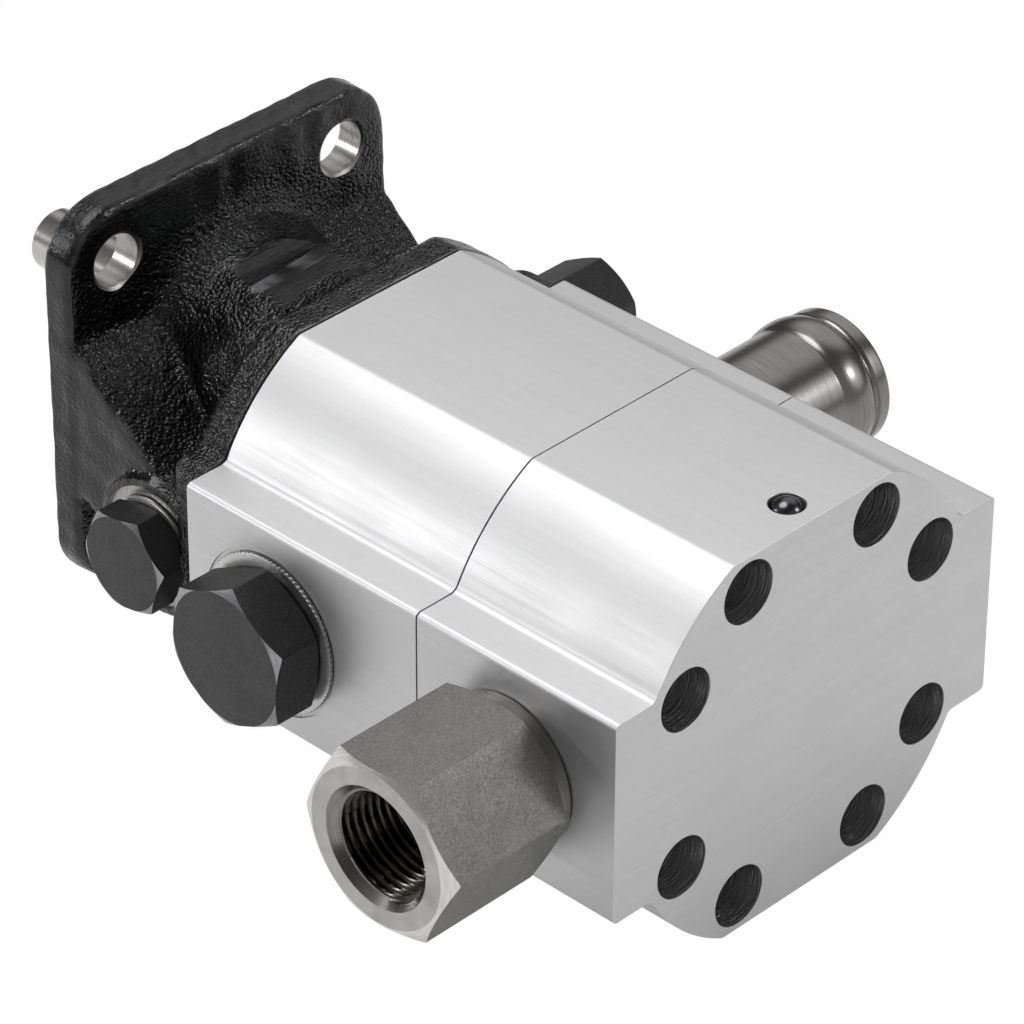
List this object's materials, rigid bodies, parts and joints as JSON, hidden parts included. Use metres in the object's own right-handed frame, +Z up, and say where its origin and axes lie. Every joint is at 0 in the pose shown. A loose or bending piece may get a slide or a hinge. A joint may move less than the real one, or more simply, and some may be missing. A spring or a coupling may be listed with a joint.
{
  "type": "two-stage gear pump",
  "caption": "Two-stage hydraulic gear pump: aluminium gear housings behind a black cast flange cover, keyed shaft, beaded suction tube and hexagonal outlet.",
  "frame": {"origin": "bottom centre of the bounding box, on the plane that the pump rests on", "axes": "+Y along the shaft, out of the flange; +X towards the inlet tube; +Z up, away from the resting flat"},
  "size_m": [0.1686, 0.1994, 0.0956],
  "materials": {
    "bearing_alloy": "satin",
    "black_oxide_steel": "satin",
    "bronze": "satin",
    "ground_steel": "gloss",
    "milled_aluminium": "satin",
    "nitrile_rubber": "matte",
    "painted_cast_iron": "gloss",
    "plain_steel": "satin",
    "plated_steel": "gloss",
    "spring_steel": "satin",
    "washer_steel": "satin"
  },
  "bodies": {
    "housing": {"ball_plug": "ground_steel", "body_dowel_left": "ground_steel", "body_dowel_right": "ground_steel", "body_screw_1": "black_oxide_steel", "body_screw_2": "black_oxide_steel", "body_screw_3": "black_oxide_steel", "body_screw_4": "black_oxide_steel", "body_screw_5": "black_oxide_steel", "body_screw_6": "black_oxide_steel", "body_screw_7": "black_oxide_steel", "body_screw_8": "black_oxide_steel", "body_seal": "nitrile_rubber", "check_plug_washer": "washer_steel", "check_valve_plug": "black_oxide_steel", "check_valve_spring": "spring_steel", "cover_bush": "bronze", "cover_dowel_left": "ground_steel", "cover_dowel_right": "ground_steel", "cover_seal": "nitrile_rubber", "first_front_block": "bearing_alloy", "first_rear_block": "bearing_alloy", "front_body": "milled_aluminium", "front_cover": "painted_cast_iron", "inlet_transfer_seal": "nitrile_rubber", "inlet_tube": "plated_steel", "outlet_fitting": "plain_steel", "outlet_transfer_seal": "nitrile_rubber", "rear_body": "milled_aluminium", "retaining_ring": "black_oxide_steel", "second_front_block": "bearing_alloy", "second_rear_block": "bearing_alloy", "shaft_seal": "nitrile_rubber", "small_plug": "black_oxide_steel", "small_plug_washer": "washer_steel", "unloading_spring": "spring_steel", "valve_cap": "black_oxide_steel", "valve_cap_washer": "washer_steel"},
    "drive_train": {"drive_shaft": "ground_steel", "shaft_key": "ground_steel", "first_drive_gear": "ground_steel", "second_drive_gear": "ground_steel"},
    "first_idler": {"first_driven_gear": "ground_steel", "first_idler_shaft": "ground_steel"},
    "second_idler": {"second_driven_gear": "ground_steel", "second_idler_shaft": "ground_steel"},
    "check_poppet": {"check_valve_poppet": "ground_steel"},
    "unloading_piston": {"unloading_spool": "ground_steel"}
  },
  "joints": [
    {"name": "shaft_spin", "type": "hinge", "parent": "housing", "child": "drive_train", "pos_m": [-0.0023, -0.05125, 0.0544], "axis": [0, 1, 0], "continuous": true},
    {"name": "first_idler_spin", "type": "hinge", "parent": "housing", "child": "first_idler", "pos_m": [-0.0023, -0.05125, 0.0274], "axis": [0, 1, 0], "continuous": true},
    {"name": "second_idler_spin", "type": "hinge", "parent": "housing", "child": "second_idler", "pos_m": [-0.0023, -0.0887, 0.0274], "axis": [0, 1, 0], "continuous": true},
    {"name": "check_valve_lift", "type": "slide", "parent": "housing", "child": "check_poppet", "axis": [-1, 0, 0], "range_m": [0, 0.003], "stiffness_N_per_m": 750, "springref_m": -0.004, "deforming": ["check_valve_spring"]},
    {"name": "unloading_stroke", "type": "slide", "parent": "housing", "child": "unloading_piston", "axis": [1, 0, 0], "range_m": [0, 0.004], "stiffness_N_per_m": 6800, "springref_m": -0.004, "deforming": ["unloading_spring"]}
  ],
  "couplings": [
    {"joint": "first_idler_spin", "follows": "shaft_spin", "ratio": -1},
    {"joint": "second_idler_spin", "follows": "shaft_spin", "ratio": -1}
  ]
}
